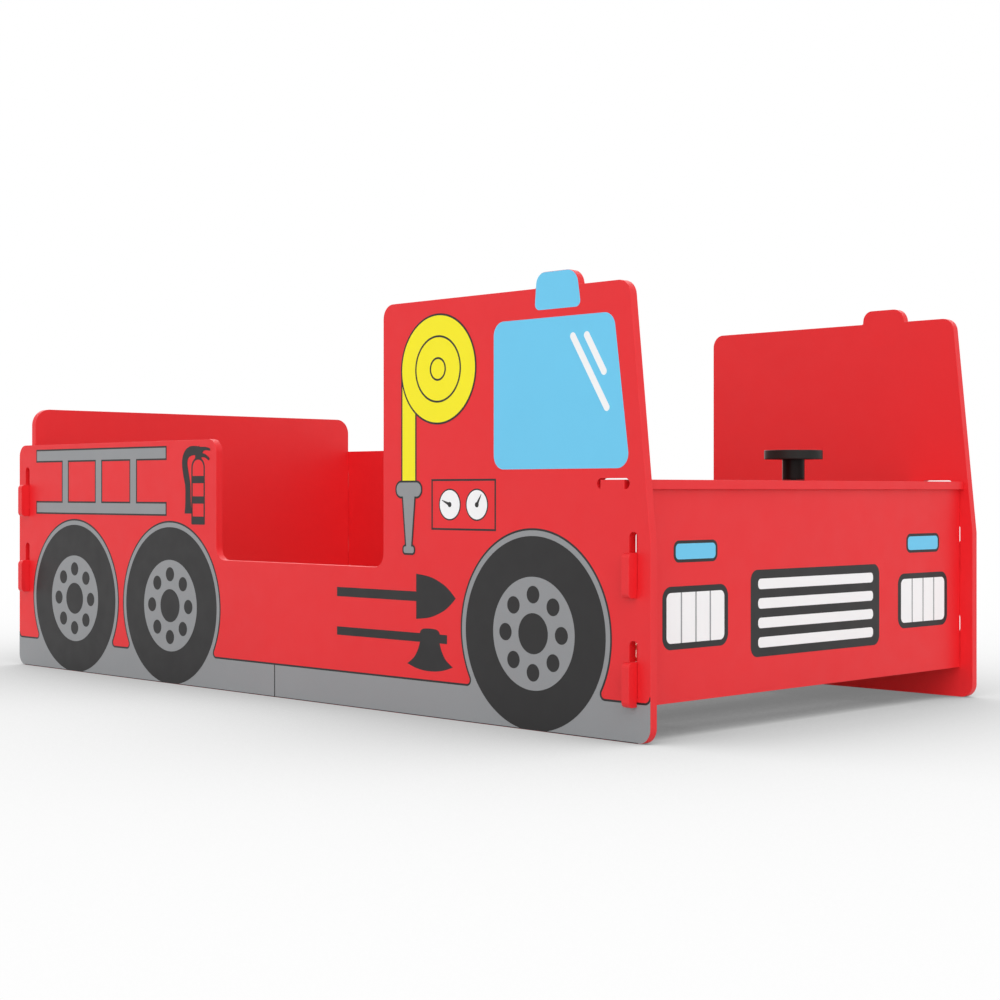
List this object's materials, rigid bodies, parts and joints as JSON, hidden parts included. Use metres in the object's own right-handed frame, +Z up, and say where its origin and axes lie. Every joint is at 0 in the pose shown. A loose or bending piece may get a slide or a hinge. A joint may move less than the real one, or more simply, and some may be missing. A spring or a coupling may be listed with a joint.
{
  "type": "fire engine bed",
  "caption": "Toddler bed shaped as a fire engine: hook-together red boards with printed sides, a slatted base, a dash shelf and a turning toy steering wheel.",
  "frame": {"origin": "on the floor, under the middle of the bed", "axes": "+X along the bed towards the cab's front, +Y to the engine's left side, +Z up"},
  "size_m": [1.5, 0.7876, 0.597],
  "materials": {
    "red_board": "fibreboard in satin red lacquer, edges lightly eased",
    "pine": "planed bare pine",
    "webbing": "woven polypropylene tape",
    "black_plastic": "moulded, semi-gloss",
    "zinc_steel": "zinc plated",
    "print_dark": "satin printed ink, dark grey",
    "print_grey": "satin printed ink, mid grey",
    "print_blue": "satin printed ink, light blue",
    "print_yellow": "satin printed ink, yellow",
    "print_white": "satin printed ink, white"
  },
  "bodies": {
    "bed_frame": {"right_side_panel": "red_board", "left_side_panel": "red_board", "front_panel": "red_board", "headboard": "red_board", "dash_shelf": "red_board", "right_bearer_rail": "pine", "left_bearer_rail": "pine", "right_rail_screws": "zinc_steel", "left_rail_screws": "zinc_steel", "right_slat_tape": "webbing", "left_slat_tape": "webbing", "slat_01": "pine", "slat_02": "pine", "slat_03": "pine", "slat_04": "pine", "slat_05": "pine", "slat_06": "pine", "slat_07": "pine", "slat_08": "pine", "slat_09": "pine", "slat_10": "pine", "slat_11": "pine", "slat_12": "pine", "slat_screws": "zinc_steel", "steering_bush": "black_plastic"},
    "steering": {"steering_wheel": "black_plastic", "steering_column": "black_plastic", "hub_cap": "black_plastic", "steering_bolt": "zinc_steel", "steering_washer": "zinc_steel", "steering_nut": "zinc_steel"}
  },
  "joints": [
    {"name": "steering_turn", "type": "hinge", "parent": "bed_frame", "child": "steering", "pos_m": [0.687, 0, 0.327], "axis": [0, 0, 1], "continuous": true}
  ]
}
